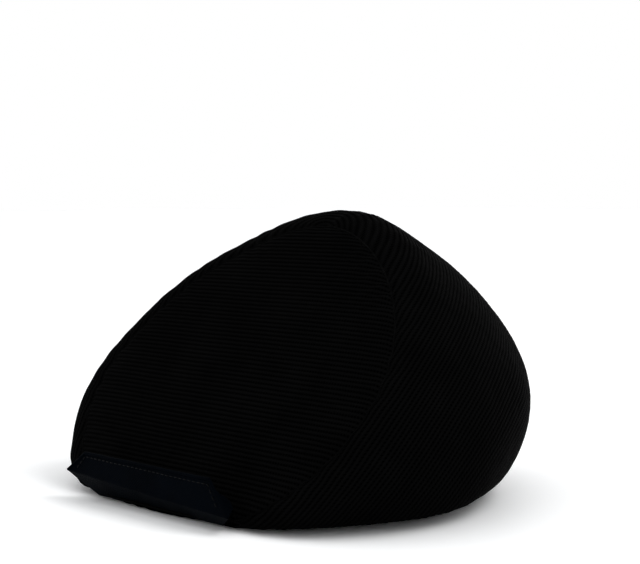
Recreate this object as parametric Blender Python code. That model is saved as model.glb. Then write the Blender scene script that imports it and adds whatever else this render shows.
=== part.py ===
"""Bead-filled cushion stand for a tablet, in metres, +Z up.

The origin is on the floor, under the middle of the stand. The tablet leans on
the sloping face at the front, -Y, and its lower edge stands on the ledge.
"""
import math

import bpy
import numpy as np

# Driving dimensions, in metres and degrees
CUSHION_WIDTH = 0.2284
CUSHION_DEPTH = 0.2594
CUSHION_HEIGHT = 0.1940
CENTRE_Y = -0.0266
CENTRE_Z = 0.0396
CUSHION_TILT = 3.3
FACE_ANGLE = 51.1
GROOVE_Y = -0.0896
GROOVE_Z = 0.0112

# How full the stuffed form is: 2 is an ellipsoid, less is more pointed
FULLNESS = 1.405
CROWN_SOFTNESS = 0.25
EDGE_SHARPNESS = 9.2
FLAT_MARGIN = 0.0006

# Cover: wall of the knit, its ribs, and where the seams run
COVER_WALL = 0.0014
RIB_DEPTH = 0.0005
RIB_PITCH = 0.0042
RIB_TILT = 25.0
FACE_SEAM = 0.92
BASE_SEAM = 0.93
SEAM_GAP = 0.0004
CLEARANCE = 0.0003

# Ledge that holds the tablet's lower edge
SHELF_DEPTH = 0.0136
LIP_HEIGHT = 0.0014
LIP_THICKNESS = 0.0012
LIP_LEAN = 0.0002
CREASE_OUT = 0.0079
CREASE_DROP = 0.0084
REAR_DROP = 0.0097
LEDGE_LENGTH = 0.0890
TIP_LENGTH = 0.1160
LEDGE_WALL = 0.0010
LEDGE_TUCK = 0.0035
HOLLOW_OVERRUN = 0.0020
TIP_INSET = 4.0
CREASE_RADIUS = 0.0012
LIP_RADIUS = 0.0005

# Fineness of the faceted surfaces
COLUMNS = 48
INNER_ROWS = 18
CONE_SIDES = 64
CONE_REACH = 0.40
CORNER_STEPS = 3
BISECTIONS = 46
POLE_SAMPLES = 720

CENTRE = np.array([0.0, CENTRE_Y, CENTRE_Z])
GROOVE = np.array([0.0, GROOVE_Y, GROOVE_Z])
FACE_RAD = math.radians(FACE_ANGLE)
FACE_UP = np.array([0.0, math.cos(FACE_RAD), math.sin(FACE_RAD)])
FACE_OUT = np.array([0.0, -math.sin(FACE_RAD), math.cos(FACE_RAD)])
DOWN = np.array([0.0, 0.0, -1.0])
RIB_RAD = math.radians(RIB_TILT)
RIB_AXIS = np.array([0.0, -math.sin(RIB_RAD), math.cos(RIB_RAD)])
RIB_SIDE = np.array([1.0, 0.0, 0.0])
RIB_BACK = np.array([0.0, math.cos(RIB_RAD), math.sin(RIB_RAD)])
FACE_DISTANCE = float((GROOVE - CENTRE) @ FACE_OUT)

KNIT_BLACK = (0.010, 0.010, 0.011, 1.0)
SMOOTH_BLACK = (0.013, 0.013, 0.014, 1.0)
BASE_BLACK = (0.008, 0.008, 0.009, 1.0)
BEAD_WHITE = (0.85, 0.85, 0.83, 1.0)
FOAM_GREY = (0.25, 0.25, 0.26, 1.0)


def clear_scene():
    """Remove whatever the scene holds."""
    for item in list(bpy.data.objects):
        bpy.data.objects.remove(item, do_unlink=True)


def make_material(name, colour, roughness):
    """A plain material with one colour and one roughness."""
    material = bpy.data.materials.new(name)
    material.use_nodes = True
    shader = material.node_tree.nodes["Principled BSDF"]
    shader.inputs["Base Color"].default_value = colour
    shader.inputs["Roughness"].default_value = roughness
    shader.inputs["Metallic"].default_value = 0.0
    return material


def make_object(name, points, faces, material=None):
    """An object from a list of points and faces."""
    mesh = bpy.data.meshes.new(name)
    mesh.from_pydata([tuple(float(c) for c in point) for point in points], [], faces)
    mesh.validate()
    if material is not None:
        mesh.materials.append(material)
    item = bpy.data.objects.new(name, mesh)
    bpy.context.scene.collection.objects.link(item)
    return item


def make_guide(name, points, faces):
    """A cutter, which is no piece of the stand."""
    item = make_object(name, points, faces)
    item.hide_render = True
    item.display_type = "WIRE"
    return item


def cut(item, cutter, operation="DIFFERENCE"):
    """Cut an object with a cutter, or keep only what they share."""
    modifier = item.modifiers.new(operation.lower() + "_" + cutter.name, "BOOLEAN")
    modifier.operation = operation
    modifier.object = cutter
    modifier.solver = "EXACT"


def round_gauge(offset):
    """1 on the stuffed form before the face and the base flatten it."""
    tilt = math.radians(CUSHION_TILT)
    back = math.cos(tilt) * offset[..., 1] + math.sin(tilt) * offset[..., 2]
    up = -math.sin(tilt) * offset[..., 1] + math.cos(tilt) * offset[..., 2]
    scaled = np.stack([
        offset[..., 0] / (CUSHION_WIDTH / 2),
        back / (CUSHION_DEPTH / 2),
        up / (CUSHION_HEIGHT / 2),
    ], axis=-1)
    size = np.maximum(np.linalg.norm(scaled, axis=-1), 1e-12)
    share = (scaled / size[..., None]) ** 2 + CROWN_SOFTNESS ** 2
    at_axis = (1 + CROWN_SOFTNESS ** 2) ** (FULLNESS / 2) + 2 * CROWN_SOFTNESS ** FULLNESS
    return size * ((share ** (FULLNESS / 2)).sum(axis=-1) / at_axis) ** (1 / FULLNESS)


def face_gauge(offset):
    """1 on the plane of the sloping face."""
    return np.maximum(0.0, offset @ FACE_OUT) / (FACE_DISTANCE + FLAT_MARGIN)


def base_gauge(offset):
    """1 on the floor."""
    return np.maximum(0.0, offset @ DOWN) / (CENTRE_Z + FLAT_MARGIN)


def cushion_gauge(offset):
    """Less than 1 inside the cushion, with its edges rounded."""
    total = round_gauge(offset) ** EDGE_SHARPNESS
    total = total + face_gauge(offset) ** EDGE_SHARPNESS
    total = total + base_gauge(offset) ** EDGE_SHARPNESS
    return total ** (1 / EDGE_SHARPNESS)


def surface_normal(points):
    """Outward normals of the cushion at points on its surface."""
    step = 1e-5
    slopes = []
    for axis in np.eye(3):
        ahead = cushion_gauge(points + step * axis - CENTRE)
        behind = cushion_gauge(points - step * axis - CENTRE)
        slopes.append(ahead - behind)
    normal = np.stack(slopes, axis=-1)
    return normal / np.linalg.norm(normal, axis=-1, keepdims=True)


def inset_surface(points, inset):
    """Move surface points inwards, and keep the face and the base flat."""
    moved = points - surface_normal(points) * np.asarray(inset)[..., None]
    proud = np.maximum(0.0, (moved - GROOVE) @ FACE_OUT + inset)
    moved = moved - proud[..., None] * FACE_OUT
    moved[..., 2] = np.maximum(moved[..., 2], inset)
    return moved


def reach(starts, directions):
    """Where rays that start inside the cushion leave it."""
    near = np.zeros(directions.shape[:-1])
    far = np.full(directions.shape[:-1], CUSHION_WIDTH + CUSHION_DEPTH)
    for _ in range(BISECTIONS):
        middle = (near + far) / 2
        inside = cushion_gauge(starts + directions * middle[..., None] - CENTRE) < 1
        near = np.where(inside, middle, near)
        far = np.where(inside, far, middle)
    return starts + directions * near[..., None]


def rib_poles():
    """The cushion's highest and lowest points along the ribs' axis, on its middle plane."""
    turn = np.linspace(0.0, 2 * math.pi, POLE_SAMPLES, endpoint=False)
    directions = np.stack([0 * turn, np.cos(turn), np.sin(turn)], axis=-1)
    points = reach(np.broadcast_to(CENTRE, directions.shape), directions)
    heights = points @ RIB_AXIS
    return points[heights.argmax()], points[heights.argmin()]


TOP_POLE, BOTTOM_POLE = rib_poles()
RIB_SPAN = float((TOP_POLE - BOTTOM_POLE) @ RIB_AXIS)


def hoop_rows(heights, inset):
    """Rows of surface points, one closed hoop for each height along the ribs' axis."""
    share = (np.asarray(heights) / RIB_SPAN)[:, None, None]
    starts = BOTTOM_POLE + share * (TOP_POLE - BOTTOM_POLE)
    turn = np.linspace(0.0, 2 * math.pi, COLUMNS, endpoint=False)[:, None]
    directions = np.sin(turn) * RIB_SIDE + np.cos(turn) * RIB_BACK
    starts = np.broadcast_to(starts, (len(heights), COLUMNS, 3))
    directions = np.broadcast_to(directions, starts.shape)
    rows = reach(starts, directions)
    return inset_surface(rows, np.broadcast_to(np.asarray(inset)[:, None], rows.shape[:2]))


def even_heights(count):
    """Heights of smooth rows, closer together towards the poles."""
    steps = np.linspace(0.0, math.pi, count + 2)[1:-1]
    return RIB_SPAN * (1 - np.cos(steps)) / 2


def closed_hoops(heights, inset, pole_inset):
    """Points and outward faces of a closed surface made of hoops."""
    rows = hoop_rows(heights, inset)
    poles = inset_surface(np.array([BOTTOM_POLE, TOP_POLE]), np.full(2, pole_inset))
    points = [poles[0]] + list(rows.reshape(-1, 3)) + [poles[1]]
    faces = []
    last = len(points) - 1
    for column in range(COLUMNS):
        following = (column + 1) % COLUMNS
        faces.append((0, 1 + column, 1 + following))
        for row in range(len(heights) - 1):
            low = 1 + row * COLUMNS
            high = low + COLUMNS
            faces.append((low + column, high + column, high + following))
            faces.append((low + column, high + following, low + following))
        top = 1 + (len(heights) - 1) * COLUMNS
        faces.append((top + column, last, top + following))
    return points, faces


def rib_heights():
    """Heights of the ribs' crests and of the hollows between them."""
    count = 2 * int(round(RIB_SPAN / RIB_PITCH)) - 1
    return RIB_SPAN * np.arange(1, count + 1) / (count + 1)


def smooth_form(inset, heights):
    """A closed copy of the cushion, this far inside its surface."""
    return closed_hoops(heights, np.full(len(heights), inset), inset)


def inner_form(inset):
    """A closed copy with wider rows, for what lies inside the cover."""
    return smooth_form(inset, even_heights(INNER_ROWS))


def ribbed_form():
    """The outer surface of the knit: a crest and a hollow for each rib."""
    heights = rib_heights()
    inset = np.where(np.arange(len(heights)) % 2 == 0, 0.0, RIB_DEPTH)
    return closed_hoops(heights, inset, RIB_DEPTH)


def shell(outer, inner):
    """A wall between an outer and an inner closed surface."""
    outer_points, outer_faces = outer
    inner_points, inner_faces = inner
    start = len(outer_points)
    faces = list(outer_faces)
    for face in inner_faces:
        faces.append(tuple(start + index for index in reversed(face)))
    return outer_points + inner_points, faces


def region_edge(axis, first, second, is_inside, shrink):
    """Directions along the edge of a panel, seen from the cushion's centre."""
    turn = 2 * math.pi * (np.arange(CONE_SIDES) + 0.5) / CONE_SIDES
    side = np.cos(turn)[:, None] * first + np.sin(turn)[:, None] * second
    near = np.zeros(CONE_SIDES)
    far = np.full(CONE_SIDES, math.pi / 2)
    for _ in range(BISECTIONS):
        middle = (near + far) / 2
        inside = is_inside(np.cos(middle)[:, None] * axis + np.sin(middle)[:, None] * side)
        near = np.where(inside, middle, near)
        far = np.where(inside, far, middle)
    directions = np.cos(near)[:, None] * axis + np.sin(near)[:, None] * side
    radius = 1 / cushion_gauge(directions)
    angle = near - shrink / radius
    return np.cos(angle)[:, None] * axis + np.sin(angle)[:, None] * side


def before_back(directions):
    """True in front of the seam between the face panel and the back panel."""
    return face_gauge(directions) * FACE_SEAM > round_gauge(directions)


def below_back(directions):
    """True below the seam between the base panel and the back panel."""
    return base_gauge(directions) * BASE_SEAM > round_gauge(directions)


def in_face_panel(directions):
    """True where the face panel lies."""
    face = face_gauge(directions) * FACE_SEAM
    return before_back(directions) & (face > base_gauge(directions) * BASE_SEAM)


def in_base_panel(directions):
    """True where the base panel lies."""
    base = base_gauge(directions) * BASE_SEAM
    return below_back(directions) & (base > face_gauge(directions) * FACE_SEAM)


def panel_cone(name, axis, is_inside, shrink):
    """A cutter from the cushion's centre out through a panel's edge."""
    side = np.array([1.0, 0.0, 0.0])
    edge = region_edge(axis, side, np.cross(axis, side), is_inside, shrink)
    points = [CENTRE] + list(CENTRE + edge * CONE_REACH) + [CENTRE + axis * CONE_REACH]
    cap = CONE_SIDES + 1
    faces = []
    for index in range(CONE_SIDES):
        following = (index + 1) % CONE_SIDES
        faces.append((0, 1 + following, 1 + index))
        faces.append((cap, 1 + index, 1 + following))
    return make_guide(name, points, faces)


def make_cushion(knit, base_cloth, beads):
    """The stuffed body: its filling and the three panels of its cover."""
    inner = inner_form(COVER_WALL)
    points, faces = shell(ribbed_form(), inner)
    back = make_object("back_panel", points, faces, knit)
    cut(back, panel_cone("face_cutter", FACE_OUT, before_back, 0.0))
    cut(back, panel_cone("base_cutter", DOWN, below_back, 0.0))

    points, faces = shell(smooth_form(0.0, rib_heights()), inner)
    face = make_object("face_panel", points, faces, knit)
    cut(face, panel_cone("face_keeper", FACE_OUT, in_face_panel, SEAM_GAP), "INTERSECT")

    base = make_object("base_panel", points, faces, base_cloth)
    cut(base, panel_cone("base_keeper", DOWN, in_base_panel, SEAM_GAP), "INTERSECT")

    points, faces = inner_form(COVER_WALL + CLEARANCE)
    make_object("bead_bag", points, faces, beads)


def round_corner(before, corner, after, radius):
    """Points of an arc that rounds one corner of an outline."""
    back = (before - corner) / np.linalg.norm(before - corner)
    ahead = (after - corner) / np.linalg.norm(after - corner)
    half = math.acos(float(np.clip(back @ ahead, -1, 1))) / 2
    middle = (back + ahead) / np.linalg.norm(back + ahead)
    centre = corner + middle * radius / math.sin(half)
    start = corner + back * radius / math.tan(half) - centre
    end = corner + ahead * radius / math.tan(half) - centre
    span = math.acos(float(np.clip(start @ end / radius ** 2, -1, 1)))
    arc = []
    for step in range(CORNER_STEPS + 1):
        share = step / CORNER_STEPS
        spread = math.sin((1 - share) * span) * start + math.sin(share * span) * end
        arc.append(centre + spread / math.sin(span))
    return arc


def ledge_corners():
    """Main corners of the ledge's section: lip crest, crease and rear of the underside.

    Each is (out from the face, up along the face), measured from the groove.
    """
    crest = np.array([SHELF_DEPTH + LIP_THICKNESS, LIP_HEIGHT])
    crease = np.array([CREASE_OUT, -CREASE_DROP])
    rear = np.array([-LEDGE_TUCK, -REAR_DROP])
    return crest, crease, rear


def ledge_outline():
    """Outer points of the ledge's section: shelf, lip, front and underside."""
    crest, crease, rear = ledge_corners()
    inner_crest = np.array([SHELF_DEPTH + LIP_LEAN, LIP_HEIGHT])
    shelf_front = np.array([SHELF_DEPTH, 0.0])
    outline = [np.array([-LEDGE_TUCK, 0.0]), shelf_front]
    outline += round_corner(shelf_front, inner_crest, crest, LIP_RADIUS)
    outline += round_corner(inner_crest, crest, crease, LIP_RADIUS)
    outline += round_corner(crest, crease, rear, CREASE_RADIUS)
    outline.append(rear)
    return outline


def inset_line(start, end, inset):
    """A point and a direction of the line this far to the right of start to end."""
    along = (end - start) / np.linalg.norm(end - start)
    return start + inset * np.array([along[1], -along[0]]), along


def crossing(first, second):
    """Where two lines cross, each a point and a direction."""
    step = np.linalg.solve(np.column_stack([first[1], -second[1]]), second[0] - first[0])
    return first[0] + step[0] * first[1]


def hollow_outline(inset, tuck):
    """Corners of the space inside the ledge, this far inside its outer faces.

    The last one is at the crease. tuck is how far the space goes behind the face.
    """
    crest, crease, rear = ledge_corners()
    groove = np.array([0.0, 0.0])
    shelf = inset_line(groove, np.array([SHELF_DEPTH, 0.0]), inset)
    front = inset_line(crest, crease, inset)
    under = inset_line(crease, rear, inset)
    back = (np.array([-tuck, 0.0]), np.array([0.0, 1.0]))
    return [crossing(under, back), crossing(back, shelf), crossing(shelf, front), crossing(front, under)]


def on_section(corner):
    """The point on the cushion's middle plane for a point of the ledge's section."""
    return GROOVE + corner[0] * FACE_OUT + corner[1] * FACE_UP


def pointed_bar(name, outline, half, tip, tip_half, material=None):
    """A bar with one section out to half on each side, and a point beyond it.

    tip is the point of the section that both points lie on.
    """
    count = len(outline)
    side = np.array([1.0, 0.0, 0.0])
    sections = [on_section(corner) for corner in outline]
    points = [at - half * side for at in sections]
    points += [at + half * side for at in sections]
    points += [on_section(tip) - tip_half * side, on_section(tip) + tip_half * side]
    faces = []
    for index in range(count):
        following = (index + 1) % count
        faces.append((index, following, count + following, count + index))
        faces.append((following, index, 2 * count))
        faces.append((count + index, count + following, 2 * count + 1))
    return make_object(name, points, faces, material)


def ledge_inside(name, inset, tuck, material=None):
    """What fills the ledge, this far inside its outer faces."""
    outline = hollow_outline(inset, tuck)
    half = LEDGE_LENGTH / 2 - inset
    tip_half = TIP_LENGTH / 2 - TIP_INSET * inset
    return pointed_bar(name, outline, half, outline[-1], tip_half, material)


def make_ledge(smooth_cloth, foam, cushion_cutter):
    """The ledge: its cover, open towards the cushion, and its stiffener."""
    crease = ledge_corners()[1]
    cover = pointed_bar("ledge_cover", ledge_outline(), LEDGE_LENGTH / 2, crease,
                        TIP_LENGTH / 2, smooth_cloth)
    hollow = ledge_inside("hollow_cutter", LEDGE_WALL, LEDGE_TUCK + HOLLOW_OVERRUN)
    hollow.hide_render = True
    hollow.display_type = "WIRE"
    cut(cover, hollow)
    cut(cover, cushion_cutter)
    core = ledge_inside("ledge_core", LEDGE_WALL + CLEARANCE, LEDGE_TUCK, foam)
    cut(core, cushion_cutter)


def main():
    clear_scene()
    knit = make_material("knit_cover", KNIT_BLACK, 0.9)
    smooth_cloth = make_material("ledge_cloth", SMOOTH_BLACK, 0.7)
    base_cloth = make_material("base_cloth", BASE_BLACK, 0.85)
    beads = make_material("bead_filling", BEAD_WHITE, 0.6)
    foam = make_material("ledge_foam", FOAM_GREY, 0.9)
    make_cushion(knit, base_cloth, beads)
    points, faces = smooth_form(-CLEARANCE, rib_heights())
    cushion_cutter = make_guide("cushion_cutter", points, faces)
    make_ledge(smooth_cloth, foam, cushion_cutter)


main()
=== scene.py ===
"""Looks of the bead-filled cushion stand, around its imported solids."""
import math

import bpy
import numpy as np
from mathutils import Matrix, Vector, noise


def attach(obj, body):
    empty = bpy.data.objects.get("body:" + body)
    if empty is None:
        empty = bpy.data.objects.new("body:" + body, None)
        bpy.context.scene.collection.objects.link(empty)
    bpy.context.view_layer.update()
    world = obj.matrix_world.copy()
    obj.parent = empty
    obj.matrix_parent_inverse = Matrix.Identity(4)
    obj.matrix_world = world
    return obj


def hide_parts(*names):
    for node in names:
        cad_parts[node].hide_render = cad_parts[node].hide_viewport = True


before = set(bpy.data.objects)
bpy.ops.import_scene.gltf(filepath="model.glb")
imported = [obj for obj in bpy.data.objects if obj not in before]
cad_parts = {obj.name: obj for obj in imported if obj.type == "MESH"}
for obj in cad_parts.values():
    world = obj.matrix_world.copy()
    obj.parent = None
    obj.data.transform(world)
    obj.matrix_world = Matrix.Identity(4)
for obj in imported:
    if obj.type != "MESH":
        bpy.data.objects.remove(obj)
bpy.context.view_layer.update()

# Form of the stuffed cushion, repeated from the part's source, in metres and degrees
CUSHION_WIDTH = 0.2284
CUSHION_DEPTH = 0.2594
CUSHION_HEIGHT = 0.1940
CENTRE_Y = -0.0266
CENTRE_Z = 0.0396
CUSHION_TILT = 3.3
FACE_ANGLE = 51.1
GROOVE_Y = -0.0896
GROOVE_Z = 0.0112
FULLNESS = 1.405
CROWN_SOFTNESS = 0.25
EDGE_SHARPNESS = 9.2
FLAT_MARGIN = 0.0006
FACE_SEAM = 0.92
BASE_SEAM = 0.93

# Ledge, repeated from the part's source
SHELF_DEPTH = 0.0136
LIP_HEIGHT = 0.0014
LIP_THICKNESS = 0.0012
CREASE_OUT = 0.0079
CREASE_DROP = 0.0084
REAR_DROP = 0.0097
LEDGE_LENGTH = 0.0890
TIP_LENGTH = 0.1160
LEDGE_TUCK = 0.0035

# Knit: ribs and stitches, in metres, degrees and shares of a rib
RIB_TILT = 46.0
RIB_BOW = 3.2
RIB_PITCH = 0.0022
RIB_RELIEF = 0.00040
RIB_PHASES = (0.0, 0.34, 0.50, 0.66)
RIB_DIPS = (0.0, 0.22, 1.0, 0.22)
POLE_DIP = 0.5
STITCH_PITCH = 0.0017
FLAT_STRETCH = 2.3
STRETCHED_RELIEF = 0.30
SEAM_RELIEF = 0.15
SEAM_FADE = 0.0012

# Cloth: dips and folds at the seams, slack, and dimples over the beads
SEAM_DIP = 0.0011
SEAM_REACH = 0.0016
SEAM_CURVE = 1.5
FACE_PUCKER = 0.00034
BASE_PUCKER = 0.00014
PUCKER_REACH = 0.010
PUCKER_COUNT = 46
PUCKER_WANDER = 4.5
PUCKER_WANDER_SCALE = 0.03
PUCKER_PATCH = (0.8, 1.6)
PUCKER_PATCH_SCALE = 0.019
SAG = 0.0009
SAG_SCALE = 0.040
BEAD_DIMPLE = 0.00020
BEAD_SCALE = 0.0065
FACE_FLATNESS = 0.45
FLAT_REACH = 0.012

# Grids that the face and the base are cut from
FACE_GRID_HEIGHT = 0.166
FACE_GRID_REACH = 0.098
FACE_GRID_DROP = 0.012
FACE_GRID_DEPTH = 0.0035
BASE_GRID_REACH = 0.092
BASE_GRID_FRONT = -0.115
BASE_GRID_REAR = 0.105
BASE_GRID_LIFT = 0.006

# Soft look of the ledge: rounded corners, a sagging crease and waves in its cloth
GROOVE_RADIUS = 0.0006
LIP_FOOT_RADIUS = 0.0004
LIP_RADIUS = 0.0007
CREASE_RADIUS = 0.0014
TIGHT_STEPS = 3
WIDE_STEPS = 5
TIP_SHARE = 0.012
LEDGE_TWIST = 0.0026
TWIST_REACH = 0.012
RIPPLE = 0.00018
RIPPLE_SCALE = 0.008
SWELL = 0.00035
SWELL_SCALE = 0.024
WAVE_DIRECTION = np.array([0.0, -0.8, -0.2])

# Cords and stitches: places on the ledge's front are shares from its crest to its crease
SEAM_CORD = 0.00055
SEAM_CORD_SINK = 0.00010
SEAM_CORD_SIDES = 8
PIPING_RADIUS = 0.00065
PIPING_SIDES = 10
PIPING_TOP = 0.03
PIPING_END = 0.97
PIPING_TIP_GAP = 0.0006
STITCH_LENGTH = 0.0022
STITCH_STEP = 0.0030
STITCH_RADIUS = 0.00024
STITCH_SIDES = 6
STITCH_TOP = 0.19
STITCH_END = 0.80
STITCH_INSET = 0.0030
STITCH_TIP_GAP = 0.0075
STITCH_LIFT = 0.00005
TUBE_REFERENCE = np.array([0.13, 0.21, 0.97])

# A stitch as steps of (share of its length, lift in radii, width in radii)
STITCH_PROFILE = (
    (0.0, -1.2, 0.5),
    (0.12, 0.1, 0.9),
    (0.35, 0.55, 1.0),
    (0.65, 0.55, 1.0),
    (0.88, 0.1, 0.9),
    (1.0, -1.2, 0.5),
)

# Width of one thread in the UVs of each cloth and cord, and threads round a cord
BASE_THREAD = 0.0011
LEDGE_THREAD = 0.0007
SEAM_THREAD = 0.0006
PIPING_THREAD = 0.0005
STITCH_THREAD = 0.0003
THREADS_AROUND = 6.0

# Seeds of the smooth noise
SAG_SEED = 1
BEAD_SEED = 2
FACE_PUCKER_SEED = 3
BASE_PUCKER_SEED = 4
PATCH_SEED_STEP = 4
RIPPLE_SEED = 11
SWELL_SEED = 12
SEED_SHIFT = (7.31, 3.17, 5.77)

# Fineness of the meshes
HOOP_COLUMNS = 336
HOOP_PROBES = 420
TURN_PROBES = 8
MERIDIAN_PROBES = 1200
POLE_PROBES = 1440
FACE_COLUMNS = 130
BASE_STEP = 0.0022
LEDGE_STEP = 0.0006
LEDGE_COLUMNS = 120
TIP_COLUMNS = 20
TRIM_STEP = 0.001
SEAM_POINTS = 900
BISECTIONS = 34
REACH_LIMIT = 0.5
SLOPE_STEP = 1e-5
SMALLEST_AREA = 1e-12
SMALLEST_STEEPNESS = 1e-3
SMALLEST_SIZE = 1e-12
SMALLEST_GAUGE = 1e-9

# Noise in the materials as (scale, detail, roughness)
KNIT_FIBRE = (2600.0, 3.0, 0.65)
KNIT_PATCH = (38.0, 4.0, 0.55)
WEAVE_FIBRE = (3200.0, 3.0, 0.6)
WEAVE_PATCH = (55.0, 4.0, 0.55)
THREAD_FIBRE = (5200.0, 2.0, 0.5)
FLOOR_PATCH = (2.0, 2.0, 0.5)

# Knit's stitches: holes and legs in shares of a stitch, then heights and tones; the groove and hole tones
# are painted shade
HOLE_SQUEEZE = (1.6, 1.3)
HOLE_EDGE = (0.14, 0.34)
LEG_SLANT = (2.0, 1.9)
KNIT_HEIGHTS = {"leg": 0.42, "fibre": 0.35, "hole": 1.3}
KNIT_TONES = {"patch": 0.35, "fibre": 0.30, "groove": 0.5, "hole": 0.6}
WEAVE_HEIGHTS = {"cell": 0.5, "fibre": 0.6}
WEAVE_TONES = {"patch": 0.6, "fibre": 0.2, "cell": 0.12}
PLY_SLANT = (3.1, math.pi / 3)
THREAD_HEIGHTS = {"ply": 0.5, "fibre": 0.5}
THREAD_TONES = {"fibre": 0.7, "ply": 0.15}
FIBRE_RANGE = (0.3, 0.7)

# Shades as (place on the ramp, colour), reflection, roughness and relief in metres
KNIT_SHADES = (
    (0.0, (0.0001, 0.0001, 0.0001)),
    (0.35, (0.0011, 0.0011, 0.00113)),
    (0.75, (0.0036, 0.0036, 0.00366)),
)
KNIT_ROUGHNESS = (0.42, 0.62)
KNIT_RELIEF = 0.00045
KNIT_SPECULAR = 0.0007
BASE_SHADES = (
    (0.15, (0.0006, 0.0006, 0.0006)),
    (0.70, (0.0030, 0.0030, 0.0031)),
)
BASE_ROUGHNESS = (0.6, 0.85)
BASE_RELIEF = 0.0003
BASE_SPECULAR = 0.008
# Shades of the black ledge cloth, tinted blue as a painted glow of a tablet's screen
LEDGE_SHADES_SCREEN_GLOW = (
    (0.15, (0.0004, 0.0007, 0.0013)),
    (0.70, (0.0013, 0.0023, 0.0040)),
)
LEDGE_ROUGHNESS = (0.34, 0.50)
LEDGE_RELIEF = 0.00012
LEDGE_SPECULAR = 0.002
THREAD_SHADES = (
    (0.1, (0.0014, 0.0014, 0.0016)),
    (0.8, (0.0060, 0.0060, 0.0064)),
)
THREAD_ROUGHNESS = (0.35, 0.55)
THREAD_RELIEF = 0.00010
THREAD_SPECULAR = 0.04

# Camera, floor and light
LENS = 95.09
SENSOR_WIDTH = 36.0
CLIP_START = 0.01
CAMERA_PLACE = (0.5795, -0.5107, 0.13805)
CAMERA_FORWARD = (-0.7502, 0.6589, -0.0558)
FLOOR_REACH = 8.0
FLOOR_SHADE = (0.92, 0.94)
FLOOR_SHOWN = 1.25
FLOOR_ROUGHNESS = (0.55, 0.65)
FLOOR_SPECULAR = 0.25
SKY_COLOUR = (0.98, 0.99, 1.0, 1.0)
SKY_STRENGTH = 0.90
KEY_PLACE = (0.70, 0.50, 1.10)
KEY_TARGET = (0.0, 0.0, 0.05)
KEY_SIZE = 0.8
KEY_POWER = 5.5

CENTRE = np.array([0.0, CENTRE_Y, CENTRE_Z])
GROOVE = np.array([0.0, GROOVE_Y, GROOVE_Z])
FACE_RAD = math.radians(FACE_ANGLE)
FACE_UP = np.array([0.0, math.cos(FACE_RAD), math.sin(FACE_RAD)])
FACE_OUT = np.array([0.0, -math.sin(FACE_RAD), math.cos(FACE_RAD)])
SIDE = np.array([1.0, 0.0, 0.0])
DOWN = np.array([0.0, 0.0, -1.0])
RIB_RAD = math.radians(RIB_TILT)
RIB_AXIS = np.array([0.0, -math.sin(RIB_RAD), math.cos(RIB_RAD)])
RIB_BACK = np.array([0.0, math.cos(RIB_RAD), math.sin(RIB_RAD)])
FACE_DISTANCE = float((GROOVE - CENTRE) @ FACE_OUT)

# Corners of the ledge's section, as distances out from the face and up along it
CREST = np.array([SHELF_DEPTH + LIP_THICKNESS, LIP_HEIGHT])
CREASE = np.array([CREASE_OUT, -CREASE_DROP])


# Form of the cushion

def round_gauge(offset):
    """1 on the stuffed form before the face and the base flatten it."""
    tilt = math.radians(CUSHION_TILT)
    back = math.cos(tilt) * offset[..., 1] + math.sin(tilt) * offset[..., 2]
    up = -math.sin(tilt) * offset[..., 1] + math.cos(tilt) * offset[..., 2]
    scaled = np.stack([
        offset[..., 0] / (CUSHION_WIDTH / 2),
        back / (CUSHION_DEPTH / 2),
        up / (CUSHION_HEIGHT / 2),
    ], axis=-1)
    size = np.maximum(np.linalg.norm(scaled, axis=-1), SMALLEST_SIZE)
    share = (scaled / size[..., None]) ** 2 + CROWN_SOFTNESS ** 2
    at_axis = (1 + CROWN_SOFTNESS ** 2) ** (FULLNESS / 2) + 2 * CROWN_SOFTNESS ** FULLNESS
    return size * ((share ** (FULLNESS / 2)).sum(axis=-1) / at_axis) ** (1 / FULLNESS)


def face_gauge(offset):
    """1 on the plane of the sloping face."""
    return np.maximum(0.0, offset @ FACE_OUT) / (FACE_DISTANCE + FLAT_MARGIN)


def base_gauge(offset):
    """1 on the floor."""
    return np.maximum(0.0, offset @ DOWN) / (CENTRE_Z + FLAT_MARGIN)


def cushion_gauge(offset):
    """Less than 1 inside the cushion, with its edges rounded."""
    total = round_gauge(offset) ** EDGE_SHARPNESS
    total = total + face_gauge(offset) ** EDGE_SHARPNESS
    total = total + base_gauge(offset) ** EDGE_SHARPNESS
    return total ** (1 / EDGE_SHARPNESS)


def gradient(field, points):
    """Slope of a field of offsets from the cushion's centre, at points in space."""
    slopes = []
    for axis in np.eye(3):
        ahead = field(points + SLOPE_STEP * axis - CENTRE)
        behind = field(points - SLOPE_STEP * axis - CENTRE)
        slopes.append((ahead - behind) / (2 * SLOPE_STEP))
    return np.stack(slopes, axis=-1)


def surface_normal(points):
    """Outward normals of the cushion at points on its surface."""
    normal = gradient(cushion_gauge, points)
    return normal / np.linalg.norm(normal, axis=-1, keepdims=True)


def reach(starts, directions):
    """Where rays that start inside the cushion leave it."""
    near = np.zeros(directions.shape[:-1])
    far = np.full(directions.shape[:-1], REACH_LIMIT)
    for _ in range(BISECTIONS):
        middle = (near + far) / 2
        inside = cushion_gauge(starts + directions * middle[..., None] - CENTRE) < 1
        near = np.where(inside, middle, near)
        far = np.where(inside, far, middle)
    return starts + directions * near[..., None]


def face_edge(offset):
    """Above 0 in front of the seam round the face panel."""
    return face_gauge(offset) * FACE_SEAM / round_gauge(offset) - 1


def base_edge(offset):
    """Above 0 below the seam round the base panel."""
    return base_gauge(offset) * BASE_SEAM / round_gauge(offset) - 1


def between_edge(offset):
    """Above 0 on the face's side of the seam between the face and the base."""
    below = np.maximum(base_gauge(offset) * BASE_SEAM, SMALLEST_GAUGE)
    return face_gauge(offset) * FACE_SEAM / below - 1


def lengths_along(path):
    """Distance along an open line at each of its points."""
    return np.concatenate([[0.0], np.cumsum(np.linalg.norm(np.diff(path, axis=0), axis=1))])


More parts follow.
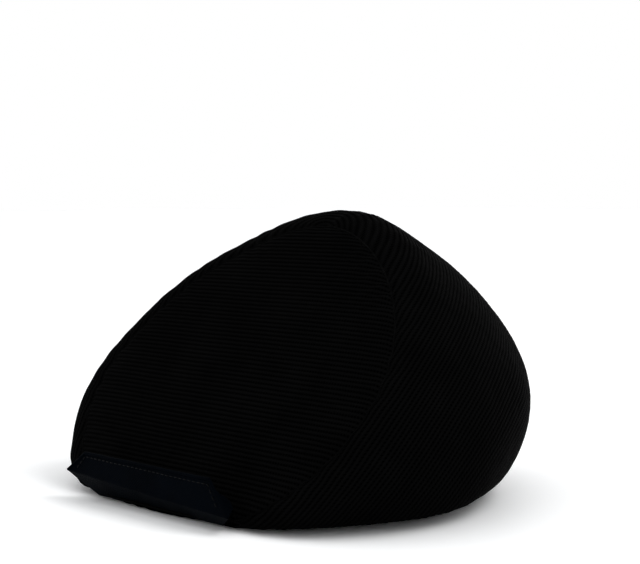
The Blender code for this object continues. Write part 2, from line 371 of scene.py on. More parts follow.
def seam_distance(field, points, normals):
    """Signed distance from a seam along the surface, above 0 where the field is."""
    slope = gradient(field, points)
    slope = slope - (slope * normals).sum(axis=-1, keepdims=True) * normals
    steepness = np.maximum(np.linalg.norm(slope, axis=-1), 1.0)
    return field(points - CENTRE) / steepness


# Meshes

def make_object(name, points, faces, material, uvs=None):
    """A smooth-shaded object from points and faces, with one UV pair for each point."""
    mesh = bpy.data.meshes.new(name)
    mesh.from_pydata(np.asarray(points).tolist(), [], [tuple(face) for face in faces])
    mesh.validate()
    mesh.materials.append(material)
    mesh.polygons.foreach_set("use_smooth", [True] * len(mesh.polygons))
    if uvs is not None:
        layer = mesh.uv_layers.new(name="cloth")
        corners = np.empty(len(mesh.loops), dtype=np.int32)
        mesh.loops.foreach_get("vertex_index", corners)
        layer.data.foreach_set("uv", np.asarray(uvs)[corners].astype(np.float32).ravel())
    item = bpy.data.objects.new(name, mesh)
    bpy.context.scene.collection.objects.link(item)
    return item


def clip(points, uvs, triangles, field):
    """Keep the part of a triangle mesh where a field of its points is below 0."""
    inside = field < 0
    kept = inside[triangles]
    count = kept.sum(axis=1)
    cut = (count > 0) & (count < 3)
    result = [tuple(triangle) for triangle in triangles[count == 3]]
    new_points = [points]
    new_uvs = [uvs]
    crossings = {}
    total = len(points)

    def crossing(first, second):
        nonlocal total
        key = (min(first, second), max(first, second))
        if key not in crossings:
            share = field[first] / (field[first] - field[second])
            new_points.append((points[first] + share * (points[second] - points[first]))[None])
            new_uvs.append((uvs[first] + share * (uvs[second] - uvs[first]))[None])
            crossings[key] = total
            total += 1
        return crossings[key]

    for triangle, flags in zip(triangles[cut], kept[cut]):
        corners = []
        for index in range(3):
            here, following = triangle[index], triangle[(index + 1) % 3]
            if flags[index]:
                corners.append(here)
            if flags[index] != flags[(index + 1) % 3]:
                corners.append(crossing(here, following))
        for index in range(1, len(corners) - 1):
            result.append((corners[0], corners[index], corners[index + 1]))
    all_points = np.concatenate(new_points)
    result = np.array(result)
    corners = all_points[result]
    first = corners[:, 1] - corners[:, 0]
    second = corners[:, 2] - corners[:, 0]
    areas = np.linalg.norm(np.cross(first, second), axis=1)
    return all_points, np.concatenate(new_uvs), result[areas > SMALLEST_AREA]


def drop_loose(points, uvs, triangles):
    """Leave out the points that no triangle uses."""
    used = np.unique(triangles)
    places = np.full(len(points), -1)
    places[used] = np.arange(len(used))
    return points[used], uvs[used], places[triangles]


def make_panel(name, points, uvs, triangles, field, material):
    """An object from the part of a mesh where a field is below 0."""
    points, uvs, triangles = clip(points, uvs, triangles, field)
    points, uvs, triangles = drop_loose(points, uvs, triangles)
    return make_object(name, points, triangles, material, uvs)


def grid_triangles(rows, columns, wrap):
    """Triangles of a grid of points, closed round its columns where wrap is true."""
    last = columns if wrap else columns - 1
    row, column = np.meshgrid(np.arange(rows - 1), np.arange(last), indexing="ij")
    following = (column + 1) % columns
    a = row * columns + column
    b = row * columns + following
    c = (row + 1) * columns + following
    d = (row + 1) * columns + column
    pairs = np.stack([np.stack([a, b, c], -1), np.stack([a, c, d], -1)], axis=2)
    return pairs.reshape(-1, 3)


def soft_noise(points, scale, seed):
    """Smooth noise between about -1 and 1 at points in space."""
    shift = Vector([seed * step for step in SEED_SHIFT])
    return np.array([noise.noise(Vector(point) / scale + shift) for point in points])


def settle(points):
    """How far beads and slack push the cloth in and out."""
    sag = SAG * soft_noise(points, SAG_SCALE, SAG_SEED)
    return sag + BEAD_DIMPLE * soft_noise(points, BEAD_SCALE, BEAD_SEED)


def pucker(points, distance, axis, depth, seed):
    """Small uneven folds across a seam, strongest at the seam."""
    second = np.cross(axis, SIDE)
    offset = points - CENTRE
    angle = np.arctan2(offset @ second, offset @ SIDE)
    wander = soft_noise(points, PUCKER_WANDER_SCALE, seed)
    patch = soft_noise(points, PUCKER_PATCH_SCALE, seed + PATCH_SEED_STEP)
    middle, most = PUCKER_PATCH
    strength = np.clip(middle + most * patch, 0.0, most)
    folds = np.cos(PUCKER_COUNT * angle + PUCKER_WANDER * wander)
    return depth * strength * folds * np.exp(-np.abs(distance) / PUCKER_REACH)


def seam_valley(distance):
    """The dip of the cloth towards a seam."""
    return -SEAM_DIP * np.exp(-(np.abs(distance) / SEAM_REACH) ** SEAM_CURVE)


def cloth_shape(points, normals):
    """How far the cloth lies outside the plain form, and its distances from both seams."""
    to_face = seam_distance(face_edge, points, normals)
    to_base = seam_distance(base_edge, points, normals)
    inner = np.clip(np.maximum(to_face, to_base) / FLAT_REACH, 0.0, 1.0)
    shape = settle(points) * (1 - (1 - FACE_FLATNESS) * inner)
    face_folds = pucker(points, to_face, FACE_OUT, FACE_PUCKER, FACE_PUCKER_SEED)
    shape = shape + face_folds + seam_valley(to_face)
    base_folds = pucker(points, to_base, DOWN, BASE_PUCKER, BASE_PUCKER_SEED)
    shape = shape + base_folds + seam_valley(to_base)
    return shape, to_face, to_base


# Panels

def rib_poles():
    """The cushion's highest and lowest points along the ribs' axis, on its middle plane."""
    turn = np.linspace(0.0, 2 * math.pi, POLE_PROBES, endpoint=False)
    directions = np.stack([0 * turn, np.cos(turn), np.sin(turn)], axis=-1)
    points = reach(np.broadcast_to(CENTRE, directions.shape), directions)
    heights = points @ RIB_AXIS
    return points[heights.argmax()], points[heights.argmin()]


def hoop_points(heights, turn):
    """Surface points, one closed hoop for each height, bowed upwards at the stand's sides."""
    top, bottom = rib_poles()
    share = (1 - np.cos(np.linspace(0.0, math.pi, HOOP_PROBES)[1:-1])) / 2
    starts = bottom + share[:, None, None] * (top - bottom)
    directions = np.sin(turn)[:, None] * SIDE + np.cos(turn)[:, None] * RIB_BACK
    starts = np.broadcast_to(starts, (len(share), len(turn), 3))
    flat = reach(starts, np.broadcast_to(directions, starts.shape))
    levels = (flat - bottom) @ RIB_AXIS - RIB_BOW * flat[..., 0] ** 2
    points = np.empty((len(heights), len(turn), 3))
    for column in range(len(turn)):
        line = np.concatenate([bottom[None], flat[:, column], top[None]])
        level = np.concatenate([[0.0], levels[:, column], [(top - bottom) @ RIB_AXIS]])
        for axis in range(3):
            points[:, column, axis] = np.interp(heights, level, line[:, axis])
    outward = points - CENTRE
    return CENTRE + outward / cushion_gauge(outward)[..., None]


def even_turns():
    """Directions round the middle hoop, evenly spaced along it."""
    top, bottom = rib_poles()
    turn = np.linspace(0.0, 2 * math.pi, TURN_PROBES * HOOP_COLUMNS + 1)
    directions = np.sin(turn)[:, None] * SIDE + np.cos(turn)[:, None] * RIB_BACK
    hoop = reach(np.broadcast_to((top + bottom) / 2, directions.shape), directions)
    length = lengths_along(hoop)
    return np.interp(length[-1] * np.arange(HOOP_COLUMNS) / HOOP_COLUMNS, length, turn)


def rib_counts(ribs):
    """Places of the rows in ribs from the first one."""
    return (np.arange(ribs)[:, None] + np.array(RIB_PHASES)[None]).ravel()


def rib_rows():
    """Heights, rib counts and dips of the rows, with ribs evenly spaced down the back."""
    top, bottom = rib_poles()
    span = float((top - bottom) @ RIB_AXIS)
    probes = np.linspace(0.0, span, MERIDIAN_PROBES)[1:-1]
    line = hoop_points(probes, np.zeros(1))[:, 0]
    line = np.concatenate([bottom[None], line, top[None]])
    length = lengths_along(line)
    probes = np.concatenate([[0.0], probes, [span]])
    ribs = int(length[-1] / RIB_PITCH)
    counts = rib_counts(ribs)[1:]
    dips = np.tile(RIB_DIPS, ribs)[1:]
    heights = np.interp(counts * RIB_PITCH, length, probes)
    return heights, counts, dips


def make_back(material):
    """The ribbed knit of the back and sides."""
    heights, counts, dips = rib_rows()
    rows = hoop_points(heights, even_turns())
    step = np.linalg.norm(rows - np.roll(rows, 1, axis=1), axis=-1)
    around = np.cumsum(step, axis=1) - step[:, :1]
    half = HOOP_COLUMNS // 2
    ring = np.arange(HOOP_COLUMNS)
    around = np.where(ring <= half, around, around - step.sum(axis=1, keepdims=True))
    uvs = np.stack([around / STITCH_PITCH, np.broadcast_to(counts[:, None], around.shape)], axis=-1)
    top, bottom = rib_poles()
    points = np.concatenate([rows.reshape(-1, 3), top[None], bottom[None]])
    uvs = np.concatenate([uvs.reshape(-1, 2), [[0.0, counts[-1] + 1], [0.0, 0.0]]])
    normals = surface_normal(points)
    shape, to_face, to_base = cloth_shape(points, normals)
    fade = np.clip(np.minimum(-to_face, -to_base) / SEAM_FADE, SEAM_RELIEF, 1.0)
    climb = RIB_AXIS - 2 * RIB_BOW * points[:, :1] * SIDE
    climb = climb - (climb * normals).sum(axis=1, keepdims=True) * normals
    steepness = np.maximum(np.linalg.norm(climb, axis=1), SMALLEST_STEEPNESS)
    pitch = np.repeat(np.gradient(heights) / np.gradient(counts), HOOP_COLUMNS)
    stretch = np.concatenate([pitch, pitch[-1:], pitch[:1]]) / steepness / RIB_PITCH
    slack = np.clip((FLAT_STRETCH - stretch) / (FLAT_STRETCH - 1.0), STRETCHED_RELIEF, 1.0)
    slack = slack * np.clip(stretch, STRETCHED_RELIEF, 1.0)
    dips = np.concatenate([np.repeat(dips, HOOP_COLUMNS), [POLE_DIP, POLE_DIP]])
    points = points + normals * (shape - RIB_RELIEF * dips * fade * slack)[:, None]
    triangles = grid_triangles(len(heights), HOOP_COLUMNS, True)
    following = (ring + 1) % HOOP_COLUMNS
    above = (len(heights) - 1) * HOOP_COLUMNS
    top_point = np.full(HOOP_COLUMNS, len(points) - 2)
    bottom_point = np.full(HOOP_COLUMNS, len(points) - 1)
    crown = np.stack([above + ring, above + following, top_point], axis=1)
    foot = np.stack([following, ring, bottom_point], axis=1)
    triangles = np.concatenate([triangles, crown, foot])[:, ::-1]
    return make_panel("back_cover", points, uvs, triangles, np.maximum(to_face, to_base), material)


def make_face(material):
    """The flat knit panel of the sloping face."""
    ribs = int(FACE_GRID_HEIGHT / RIB_PITCH)
    counts = rib_counts(ribs)
    dips = np.tile(RIB_DIPS, ribs)
    across = np.linspace(-FACE_GRID_REACH, FACE_GRID_REACH, FACE_COLUMNS)
    rise = counts * RIB_PITCH - FACE_GRID_DROP
    starts = GROOVE - FACE_GRID_DEPTH * FACE_OUT + rise[:, None, None] * FACE_UP
    starts = starts + across[:, None] * SIDE
    inside = cushion_gauge(starts - CENTRE) < 1
    rows = reach(starts, np.broadcast_to(FACE_OUT, starts.shape))
    rows = np.where(inside[..., None], rows, starts)
    uvs = np.stack(np.broadcast_arrays(across[None] / STITCH_PITCH, counts[:, None]), axis=-1)
    points = rows.reshape(-1, 3)
    uvs = uvs.reshape(-1, 2)
    normals = surface_normal(points)
    shape, to_face, _ = cloth_shape(points, normals)
    to_edge = -to_face
    to_front = -seam_distance(between_edge, points, normals)
    fade = np.clip(-to_edge / SEAM_FADE, SEAM_RELIEF, 1.0)
    relief = -RIB_RELIEF * np.repeat(dips, FACE_COLUMNS) * fade
    points = points + normals * (shape + relief)[:, None]
    field = np.where(inside.ravel(), np.maximum(to_edge, to_front), 1.0)
    triangles = grid_triangles(len(counts), FACE_COLUMNS, False)
    return make_panel("face_cover", points, uvs, triangles, field, material)


def make_base(material):
    """The woven panel under the cushion."""
    across = np.arange(-BASE_GRID_REACH, BASE_GRID_REACH, BASE_STEP)
    along = np.arange(BASE_GRID_FRONT, BASE_GRID_REAR, BASE_STEP)
    starts = np.stack(np.broadcast_arrays(across[None], along[:, None], BASE_GRID_LIFT), axis=-1)
    inside = cushion_gauge(starts - CENTRE) < 1
    rows = reach(starts, np.broadcast_to(DOWN, starts.shape))
    rows = np.where(inside[..., None], rows, starts)
    points = rows.reshape(-1, 3)
    uvs = points[:, :2] / BASE_THREAD
    normals = surface_normal(points)
    shape, _, to_base = cloth_shape(points, normals)
    to_edge = -to_base
    to_front = seam_distance(between_edge, points, normals)
    points = points + normals * shape[:, None]
    points[:, 2] = np.maximum(points[:, 2], 0.0)
    field = np.where(inside.ravel(), np.maximum(to_edge, to_front), 1.0)
    triangles = grid_triangles(len(along), len(across), False)[:, ::-1]
    return make_panel("base_cover", points, uvs, triangles, field, material)


# Ledge

def round_corner(before, corner, after, radius, steps):
    """Points of an arc that rounds one corner of an outline."""
    back = (before - corner) / np.linalg.norm(before - corner)
    ahead = (after - corner) / np.linalg.norm(after - corner)
    half = math.acos(float(np.clip(back @ ahead, -1, 1))) / 2
    middle = (back + ahead) / np.linalg.norm(back + ahead)
    centre = corner + middle * radius / math.sin(half)
    start = corner + back * radius / math.tan(half) - centre
    end = corner + ahead * radius / math.tan(half) - centre
    span = math.acos(float(np.clip(start @ end / radius ** 2, -1, 1)))
    arc = []
    for step in range(steps + 1):
        share = step / steps
        spread = math.sin((1 - share) * span) * start + math.sin(share * span) * end
        arc.append(centre + spread / math.sin(span))
    return arc


def resample(outline, spacing):
    """Points along an open line, with one at each of its own points."""
    result = []
    for first, second in zip(outline[:-1], outline[1:]):
        count = max(1, int(round(np.linalg.norm(second - first) / spacing)))
        for step in range(count):
            result.append(first + (second - first) * step / count)
    result.append(outline[-1])
    return np.array(result)


def ledge_section():
    """The ledge's section as a line of points, out from the face and up along it."""
    inner = np.array([SHELF_DEPTH, LIP_HEIGHT])
    front = np.array([SHELF_DEPTH, 0.0])
    shelf_rear = np.array([-LEDGE_TUCK, 0.0])
    under_rear = np.array([-LEDGE_TUCK, -REAR_DROP])
    outline = [shelf_rear]
    outline += round_corner(shelf_rear, front, inner, GROOVE_RADIUS, TIGHT_STEPS)
    outline += round_corner(front, inner, CREST, LIP_FOOT_RADIUS, TIGHT_STEPS)
    outline += round_corner(inner, CREST, CREASE, LIP_RADIUS, WIDE_STEPS)
    outline += round_corner(CREST, CREASE, under_rear, CREASE_RADIUS, WIDE_STEPS)
    outline.append(under_rear)
    return resample(outline, LEDGE_STEP)


def ledge_place(local, across):
    """Points of the ledge from its section's points and places along it, twisted and waved."""
    nearness = np.clip(1 - np.linalg.norm(local - CREASE, axis=-1) / TWIST_REACH, 0, 1)
    points = GROOVE + local[..., :1] * FACE_OUT + local[..., 1:] * FACE_UP + across[..., None] * SIDE
    sink = nearness * across / (TIP_LENGTH / 2) * LEDGE_TWIST
    points = points + sink[..., None] * DOWN
    flat = points.reshape(-1, 3)
    ripple = RIPPLE * soft_noise(flat, RIPPLE_SCALE, RIPPLE_SEED)
    wave = ripple + SWELL * soft_noise(flat, SWELL_SCALE, SWELL_SEED)
    return (flat + wave[:, None] * WAVE_DIRECTION).reshape(points.shape)


def make_ledge(material):
    """The ledge in smooth cloth: a full section that runs out to a point at each end."""
    section = ledge_section()
    half = LEDGE_LENGTH / 2
    tip = TIP_LENGTH / 2
    across = np.concatenate([
        np.linspace(-tip, -half, TIP_COLUMNS, endpoint=False),
        np.linspace(-half, half, LEDGE_COLUMNS, endpoint=False),
        np.linspace(half, tip, TIP_COLUMNS + 1),
    ])
    share = np.clip((tip - np.abs(across)) / (tip - half), TIP_SHARE, 1.0)
    local = CREASE + share[:, None, None] * (section - CREASE)
    points = ledge_place(local, np.broadcast_to(across[:, None], local.shape[:2]))
    rows, columns = points.shape[:2]
    length = lengths_along(section)
    uvs = np.stack(np.broadcast_arrays(across[:, None], length[None]), axis=-1) / LEDGE_THREAD
    triangles = grid_triangles(rows, columns, False)
    return make_object("ledge_pad", points.reshape(-1, 3), triangles, material, uvs.reshape(-1, 2))


def front_line(corners, lift):
    """A line on the ledge's front through corners of (share from crest to crease, place across)."""
    down = (CREASE - CREST) / np.linalg.norm(CREASE - CREST)
    outward = np.array([-down[1], down[0]])
    line = resample([np.array(corner) for corner in corners], TRIM_STEP)
    local = CREST + line[:, :1] * (CREASE - CREST) + outward * lift
    path = ledge_place(local, line[:, 1])
    normal = outward[0] * FACE_OUT + outward[1] * FACE_UP
    return path, np.broadcast_to(normal, path.shape)


def make_ledge_trim(thread, cord):
    """The piping along the ledge's edges and the rows of stitches beside it."""
    half = LEDGE_LENGTH / 2
    tip = TIP_LENGTH / 2
    end = tip - PIPING_TIP_GAP
    corners = [(PIPING_END, -end), (PIPING_TOP, -half), (PIPING_TOP, half), (PIPING_END, end)]
    edge, _ = front_line(corners, 0.0)
    points, triangles = tube(edge, PIPING_SIDES, PIPING_RADIUS, False)
    uvs = tube_uvs(edge, PIPING_SIDES, PIPING_THREAD, False)
    piping = make_object("ledge_piping", points, triangles, cord, uvs)
    end = tip - STITCH_TIP_GAP
    turn = half + STITCH_TOP * (tip - half) - STITCH_INSET
    corners = [(STITCH_END, -end), (STITCH_TOP, -turn), (STITCH_TOP, turn), (STITCH_END, end)]
    path, normals = front_line(corners, STITCH_LIFT)
    points, triangles, uvs = stitch_row(path, normals)
    return piping, make_object("ledge_stitches", points, triangles, thread, uvs)


# Cords and threads

def tube(path, sides, radius, closed):
    """Points and triangles of a round tube along a path."""
    count = len(path)
    if closed:
        ahead = np.roll(path, -1, axis=0) - np.roll(path, 1, axis=0)
    else:
        ahead = np.gradient(path, axis=0)
    ahead = ahead / np.linalg.norm(ahead, axis=1, keepdims=True)
    first = np.cross(ahead, TUBE_REFERENCE)
    first = first / np.linalg.norm(first, axis=1, keepdims=True)
    second = np.cross(ahead, first)
    turn = np.linspace(0.0, 2 * math.pi, sides, endpoint=False)
    width = np.broadcast_to(np.asarray(radius), count)[:, None, None]
    spokes = np.cos(turn)[None, :, None] * first[:, None] + np.sin(turn)[None, :, None] * second[:, None]
    points = (path[:, None] + width * spokes).reshape(-1, 3)
    triangles = grid_triangles(count, sides, True)
    last = (count - 1) * sides
    index = np.arange(sides)
    following = (index + 1) % sides
    if closed:
        ends = [np.stack([last + index, last + following, following], axis=1),
                np.stack([last + index, following, index], axis=1)]
    else:
        points = np.concatenate([points, path[:1], path[-1:]])
        near = np.full(sides, count * sides)
        ends = [np.stack([following, index, near], axis=1),
                np.stack([last + index, last + following, near + 1], axis=1)]
    return points, np.concatenate([triangles] + ends)


def tube_uvs(path, sides, pitch, closed):
    """UVs that run along a tube and round it, in thread widths."""
    along = lengths_along(path)[:, None] / pitch
    around = np.arange(sides) / sides * THREADS_AROUND
    uvs = np.stack(np.broadcast_arrays(along, around[None]), axis=-1).reshape(-1, 2)
    if not closed:
        uvs = np.concatenate([uvs, uvs[:1], uvs[-1:]])
    return uvs


def panel_edge(axis, is_inside, count):
    """The closed line round a panel of the cushion, on the plain form."""
    turn = 2 * math.pi * np.arange(count) / count
    second = np.cross(axis, SIDE)
    side = np.cos(turn)[:, None] * SIDE + np.sin(turn)[:, None] * second
    near = np.zeros(count)
    far = np.full(count, math.pi / 2)
    for _ in range(BISECTIONS):
        middle = (near + far) / 2
        inside = is_inside(np.cos(middle)[:, None] * axis + np.sin(middle)[:, None] * side)
        near = np.where(inside, middle, near)
        far = np.where(inside, far, middle)
    directions = np.cos(near)[:, None] * axis + np.sin(near)[:, None] * side
    return CENTRE + directions / cushion_gauge(directions)[:, None]


def make_seams(material):
    """The cords in the valleys between the panels."""
    face_loop = panel_edge(FACE_OUT, lambda at: (face_edge(at) > 0) & (between_edge(at) > 0), SEAM_POINTS)
    base_loop = panel_edge(DOWN, lambda at: (base_edge(at) > 0) & (between_edge(at) < 0), SEAM_POINTS)
    alone = base_edge(base_loop - CENTRE) < np.abs(between_edge(base_loop - CENTRE))
    start = int(np.argmax(alone & ~np.roll(alone, 1)))
    base_path = np.roll(base_loop, -start, axis=0)[:int(alone.sum())]
    made = []
    for name, path, closed in (("face_seam", face_loop, True), ("base_seam", base_path, False)):
        normals = surface_normal(path)
        shape = cloth_shape(path, normals)[0]
        path = path + normals * (shape - SEAM_CORD_SINK)[:, None]
        path[:, 2] = np.maximum(path[:, 2], SEAM_CORD)
        points, triangles = tube(path, SEAM_CORD_SIDES, SEAM_CORD, closed)
        uvs = tube_uvs(path, SEAM_CORD_SIDES, SEAM_THREAD, closed)
        made.append(make_object(name, points, triangles, material, uvs))
    return made


def stitch_row(path, normals):
    """Short threads that lie along a path and dip into the cloth at their ends."""
    length = lengths_along(path)
    count = int(length[-1] / STITCH_STEP)
    all_points = []
    all_triangles = []
    all_uvs = []
    total = 0
    for index in range(count):
        start = (index + 0.5) * length[-1] / count - STITCH_LENGTH / 2
        line = []
        radii = []
        for share, lift, width in STITCH_PROFILE:
            place = start + share * STITCH_LENGTH
            at = np.array([np.interp(place, length, path[:, axis]) for axis in range(3)])
            normal = np.array([np.interp(place, length, normals[:, axis]) for axis in range(3)])
            line.append(at + normal * lift * STITCH_RADIUS)
            radii.append(width * STITCH_RADIUS)
        line = np.array(line)
        points, triangles = tube(line, STITCH_SIDES, np.array(radii), False)
        all_points.append(points)
        all_triangles.append(triangles + total)
        all_uvs.append(tube_uvs(line, STITCH_SIDES, STITCH_THREAD, False))
        total += len(points)
    return np.concatenate(all_points), np.concatenate(all_triangles), np.concatenate(all_uvs)


# Materials

class Nodes:
    """Short names for building a material's nodes."""

    def __init__(self, name):
        self.material = bpy.data.materials.new(name)
        self.material.use_nodes = True
        self.tree = self.material.node_tree
        self.shader = self.tree.nodes["Principled BSDF"]

    def add(self, kind, **values):
        node = self.tree.nodes.new(kind)
        for key, value in values.items():
            setattr(node, key, value)
        return node

    def link(self, source, target):
        self.tree.links.new(source, target)

    def math(self, operation, *values):
        node = self.add("ShaderNodeMath", operation=operation)
        for socket, value in zip(node.inputs, values):
            if isinstance(value, (int, float)):
                socket.default_value = value
            else:
                self.link(value, socket)
        return node.outputs[0]

    def weighed(self, *terms):
        """Sum of (value, weight) pairs, in their order."""
        total = None
        for value, weight in terms:
            part = self.math("MULTIPLY", value, weight)
            total = part if total is None else self.math("ADD", total, part)
        return total

    def noise(self, scale, detail, roughness):
        place = self.add("ShaderNodeTexCoord")
        node = self.add("ShaderNodeTexNoise")
        node.inputs["Scale"].default_value = scale
        node.inputs["Detail"].default_value = detail
        node.inputs["Roughness"].default_value = roughness
        self.link(place.outputs["Object"], node.inputs["Vector"])
        return node.outputs["Fac"]

    def remap(self, value, low, high, new_low, new_high):
        """A smooth step from one range to another."""
        node = self.add("ShaderNodeMapRange")
        node.interpolation_type = "SMOOTHSTEP"
        self.link(value, node.inputs["Value"])
        for key, number in zip(("From Min", "From Max", "To Min", "To Max"),
                               (low, high, new_low, new_high)):
            node.inputs[key].default_value = number
        return node.outputs["Result"]

    def ramp(self, value, stops):
        node = self.add("ShaderNodeValToRGB")
        elements = node.color_ramp.elements
        while len(elements) < len(stops):
            elements.new(0.5)
        for element, (place, colour) in zip(elements, stops):
            element.position = place
            element.color = (*colour, 1.0)
        self.link(value, node.inputs["Fac"])
        return node.outputs["Color"]

    def bump(self, height, distance):
        node = self.add("ShaderNodeBump")
        node.inputs["Strength"].default_value = 1.0
        node.inputs["Distance"].default_value = distance
        self.link(height, node.inputs["Height"])
        return node.outputs["Normal"]

    def cloth_uv(self):
        uv = self.add("ShaderNodeUVMap", uv_map="cloth")
        split = self.add("ShaderNodeSeparateXYZ")
        self.link(uv.outputs["UV"], split.inputs["Vector"])
        return split.outputs["X"], split.outputs["Y"]

    def finish(self, colour, roughness, specular, normal=None):
        self.link(colour, self.shader.inputs["Base Color"])
        self.link(roughness, self.shader.inputs["Roughness"])
        if normal is not None:
            self.link(normal, self.shader.inputs["Normal"])
        self.shader.inputs["Specular IOR Level"].default_value = specular
        return self.material


def knit_material():
    """Black ribbed knit: rows of stitches on each rib, small holes between the ribs, with painted shade
    darkening the grooves and the holes.
    """
    n = Nodes("knit_cover")
    u, v = n.cloth_uv()
    rib = n.math("FLOOR", n.math("ADD", v, 0.5))
    across = n.math("ABSOLUTE", n.math("SUBTRACT", v, rib))
    shift = n.math("MULTIPLY", n.math("FLOOR", v), 0.5)
    place = n.math("FRACT", n.math("ADD", u, shift))
    along = n.math("ABSOLUTE", n.math("SUBTRACT", place, 0.5))
    from_groove = n.math("SUBTRACT", 0.5, across)
    along = n.math("POWER", n.math("MULTIPLY", along, HOLE_SQUEEZE[0]), 2.0)
    inward = n.math("POWER", n.math("MULTIPLY", from_groove, HOLE_SQUEEZE[1]), 2.0)
    hole = n.remap(n.math("SQRT", n.math("ADD", along, inward)), *HOLE_EDGE, 1.0, 0.0)
    leg = n.math("PINGPONG", n.weighed((u, LEG_SLANT[0]), (across, LEG_SLANT[1])), 1.0)
    fibre = n.noise(*KNIT_FIBRE)
    patch = n.noise(*KNIT_PATCH)
    height = n.weighed((leg, KNIT_HEIGHTS["leg"]), (fibre, KNIT_HEIGHTS["fibre"]))
    height = n.math("SUBTRACT", height, n.math("MULTIPLY", hole, KNIT_HEIGHTS["hole"]))
    # Painted shade: the tone darkens towards the grooves between the ribs and inside the holes
    tone = n.weighed((patch, KNIT_TONES["patch"]), (fibre, KNIT_TONES["fibre"]),
                     (from_groove, KNIT_TONES["groove"]))
    tone = n.math("SUBTRACT", tone, n.math("MULTIPLY", hole, KNIT_TONES["hole"]))
    roughness = n.remap(fibre, *FIBRE_RANGE, *KNIT_ROUGHNESS)
    return n.finish(n.ramp(tone, KNIT_SHADES), roughness, KNIT_SPECULAR, n.bump(height, KNIT_RELIEF))


def weave_material(name, shades, roughness, specular, relief):
    """A close plain weave, one thread over and one under."""
    n = Nodes(name)
    u, v = n.cloth_uv()
    warp = n.math("SINE", n.math("MULTIPLY", u, math.pi))
    weft = n.math("SINE", n.math("MULTIPLY", v, math.pi))
    cell = n.math("MULTIPLY", warp, weft)
    fibre = n.noise(*WEAVE_FIBRE)
    patch = n.noise(*WEAVE_PATCH)
    height = n.weighed((cell, WEAVE_HEIGHTS["cell"]), (fibre, WEAVE_HEIGHTS["fibre"]))
    tone = n.weighed((patch, WEAVE_TONES["patch"]), (fibre, WEAVE_TONES["fibre"]),
                     (cell, WEAVE_TONES["cell"]))
    rough = n.remap(fibre, *FIBRE_RANGE, *roughness)
    return n.finish(n.ramp(tone, shades), rough, specular, n.bump(height, relief))


def thread_material():
    """Twisted sewing thread."""
    n = Nodes("thread")
    u, v = n.cloth_uv()
    ply = n.math("SINE", n.weighed((u, PLY_SLANT[0]), (v, PLY_SLANT[1])))
    fibre = n.noise(*THREAD_FIBRE)
    height = n.weighed((ply, THREAD_HEIGHTS["ply"]), (fibre, THREAD_HEIGHTS["fibre"]))
    tone = n.weighed((fibre, THREAD_TONES["fibre"]), (ply, THREAD_TONES["ply"]))
    rough = n.remap(fibre, *FIBRE_RANGE, *THREAD_ROUGHNESS)
    return n.finish(n.ramp(tone, THREAD_SHADES), rough, THREAD_SPECULAR, n.bump(height, THREAD_RELIEF))


def background_ray(tree):
    """1 for rays that show the background: from the camera, and in gloss and glass."""
    path = tree.nodes.new("ShaderNodeLightPath")
    result = path.outputs["Is Camera Ray"]
    for name in ("Is Glossy Ray", "Is Transmission Ray"):
        largest = tree.nodes.new("ShaderNodeMath")
        largest.operation = "MAXIMUM"
        tree.links.new(result, largest.inputs[0])
        tree.links.new(path.outputs[name], largest.inputs[1])
        result = largest.outputs[0]
    return result


def floor_material():
    """Near-white floor, a little whiter where it is seen than where it lights the stand."""
    n = Nodes("stage_floor")
    patch = n.noise(*FLOOR_PATCH)
    shade = n.remap(patch, 0.0, 1.0, *FLOOR_SHADE)
    level = n.math("MULTIPLY", shade, n.remap(background_ray(n.tree), 0.0, 1.0, 1.0, FLOOR_SHOWN))
    colour = n.add("ShaderNodeCombineColor")
    for channel in colour.inputs:
        n.link(level, channel)
    roughness = n.remap(patch, 0.0, 1.0, *FLOOR_ROUGHNESS)
    return n.finish(colour.outputs[0], roughness, FLOOR_SPECULAR)


# Camera, light and stage

def make_camera():
    """The photo's camera, as it was solved."""
    data = bpy.data.cameras.new("camera")
    data.lens = LENS
    data.sensor_width = SENSOR_WIDTH
    data.sensor_fit = "HORIZONTAL"
    data.clip_start = CLIP_START
    camera = bpy.data.objects.new("camera", data)
    bpy.context.scene.collection.objects.link(camera)
    camera.location = CAMERA_PLACE
    camera.rotation_euler = Vector(CAMERA_FORWARD).to_track_quat("-Z", "Y").to_euler()
    bpy.context.scene.camera = camera


def make_light():
    """One soft lamp above, at the right of the picture."""
    data = bpy.data.lights.new("key", "AREA")
    data.shape = "DISK"
    data.size = KEY_SIZE
    data.energy = KEY_POWER
    light = bpy.data.objects.new("key", data)
    bpy.context.scene.collection.objects.link(light)
    light.location = KEY_PLACE
    ahead = Vector(KEY_TARGET) - Vector(KEY_PLACE)
    light.rotation_euler = ahead.to_track_quat("-Z", "Y").to_euler()


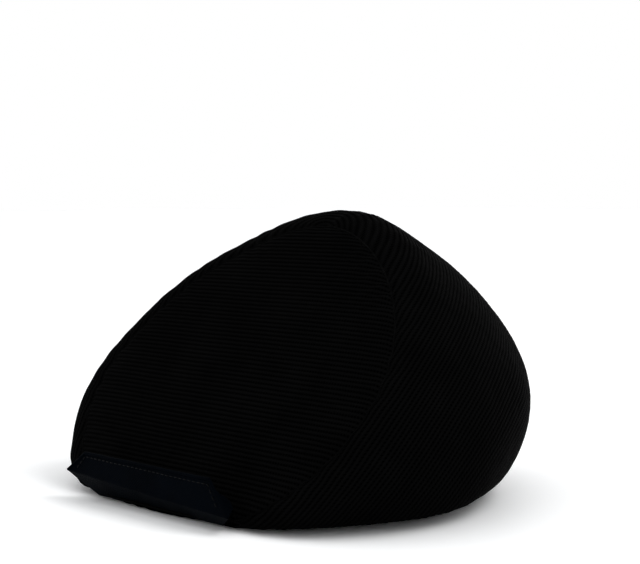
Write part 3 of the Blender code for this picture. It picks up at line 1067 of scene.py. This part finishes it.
def make_world():
    """Even light from all sides, in front of a white background."""
    world = bpy.data.worlds.new("studio")
    bpy.context.scene.world = world
    world.use_nodes = True
    tree = world.node_tree
    tree.nodes.clear()
    output = tree.nodes.new("ShaderNodeOutputWorld")
    shown = tree.nodes.new("ShaderNodeBackground")
    shown.inputs["Color"].default_value = (1.0, 1.0, 1.0, 1.0)
    shown.inputs["Strength"].default_value = 1.0
    lighting = tree.nodes.new("ShaderNodeBackground")
    lighting.inputs["Color"].default_value = SKY_COLOUR
    lighting.inputs["Strength"].default_value = SKY_STRENGTH
    mix = tree.nodes.new("ShaderNodeMixShader")
    tree.links.new(background_ray(tree), mix.inputs[0])
    tree.links.new(lighting.outputs[0], mix.inputs[1])
    tree.links.new(shown.outputs[0], mix.inputs[2])
    tree.links.new(mix.outputs[0], output.inputs["Surface"])


def make_stage():
    """The floor, the background and the lamp."""
    signs = ((-1, -1), (1, -1), (1, 1), (-1, 1))
    corners = [(x * FLOOR_REACH, y * FLOOR_REACH, 0.0) for x, y in signs]
    floor = make_object("stage_floor", corners, [(0, 1, 2, 3)], floor_material())
    bpy.context.scene.view_settings.view_transform = "Standard"
    make_world()
    make_light()


make_camera()
make_stage()
knit = knit_material()
base_cloth = weave_material("base_cloth", BASE_SHADES, BASE_ROUGHNESS, BASE_SPECULAR, BASE_RELIEF)
# The ledge cloth, also used on the piping, carries the painted blue screen glow in its shades
ledge_cloth = weave_material("ledge_cloth", LEDGE_SHADES_SCREEN_GLOW, LEDGE_ROUGHNESS, LEDGE_SPECULAR, LEDGE_RELIEF)

back = make_back(knit)
face = make_face(knit)
base = make_base(base_cloth)
ledge = make_ledge(ledge_cloth)

thread = thread_material()
face_seam, base_seam = make_seams(base_cloth)
piping, ledge_stitches = make_ledge_trim(thread, ledge_cloth)

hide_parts("back_panel", "bead_bag")
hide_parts("face_panel")
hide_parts("base_panel")
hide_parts("ledge_cover", "ledge_core")
SLOTS = (
    (back, "knit_cover"),
    (face, "knit_cover"),
    (base, "base_cloth"),
    (ledge, "ledge_cloth"),
    (face_seam, "knit_cover"),
    (base_seam, "base_cloth"),
    (piping, "ledge_cloth"),
    (ledge_stitches, "ledge_cloth"),
)
for piece, slot in SLOTS:
    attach(piece, "root")
